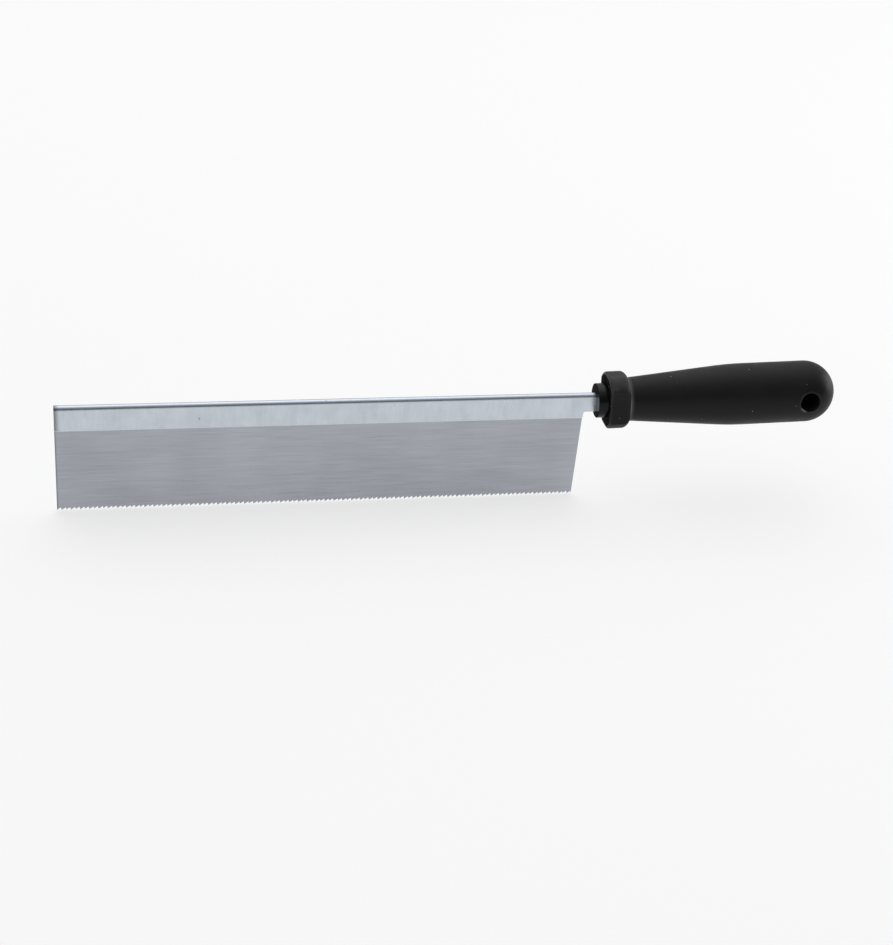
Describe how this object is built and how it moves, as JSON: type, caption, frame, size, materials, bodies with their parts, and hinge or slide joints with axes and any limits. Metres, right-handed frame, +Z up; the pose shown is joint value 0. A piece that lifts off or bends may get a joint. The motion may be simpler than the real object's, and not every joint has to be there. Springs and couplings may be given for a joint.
{
  "type": "back saw",
  "caption": "Small back saw: fine-toothed blade under a folded steel back, with a ferrule and a straight turned handle for cutting joints and mitres by hand.",
  "frame": {"origin": "under the middle of the saw's length, level with the tooth points, in the middle plane of the blade", "axes": "+X from the toe of the blade to the end of the handle, +Y across the blade, +Z up from the tooth points to the back"},
  "size_m": [0.3752, 0.0298, 0.07],
  "materials": {
    "blade_steel": "polished lengthwise, fine brushed lines",
    "back_zinc": "bright zinc plate on folded sheet",
    "ferrule_lacquer": "gloss black lacquer",
    "handle_plastic": "satin moulded black"
  },
  "bodies": {
    "root": {"blade": "blade_steel", "back": "back_zinc", "ferrule": "ferrule_lacquer", "handle": "handle_plastic"}
  },
  "joints": []
}
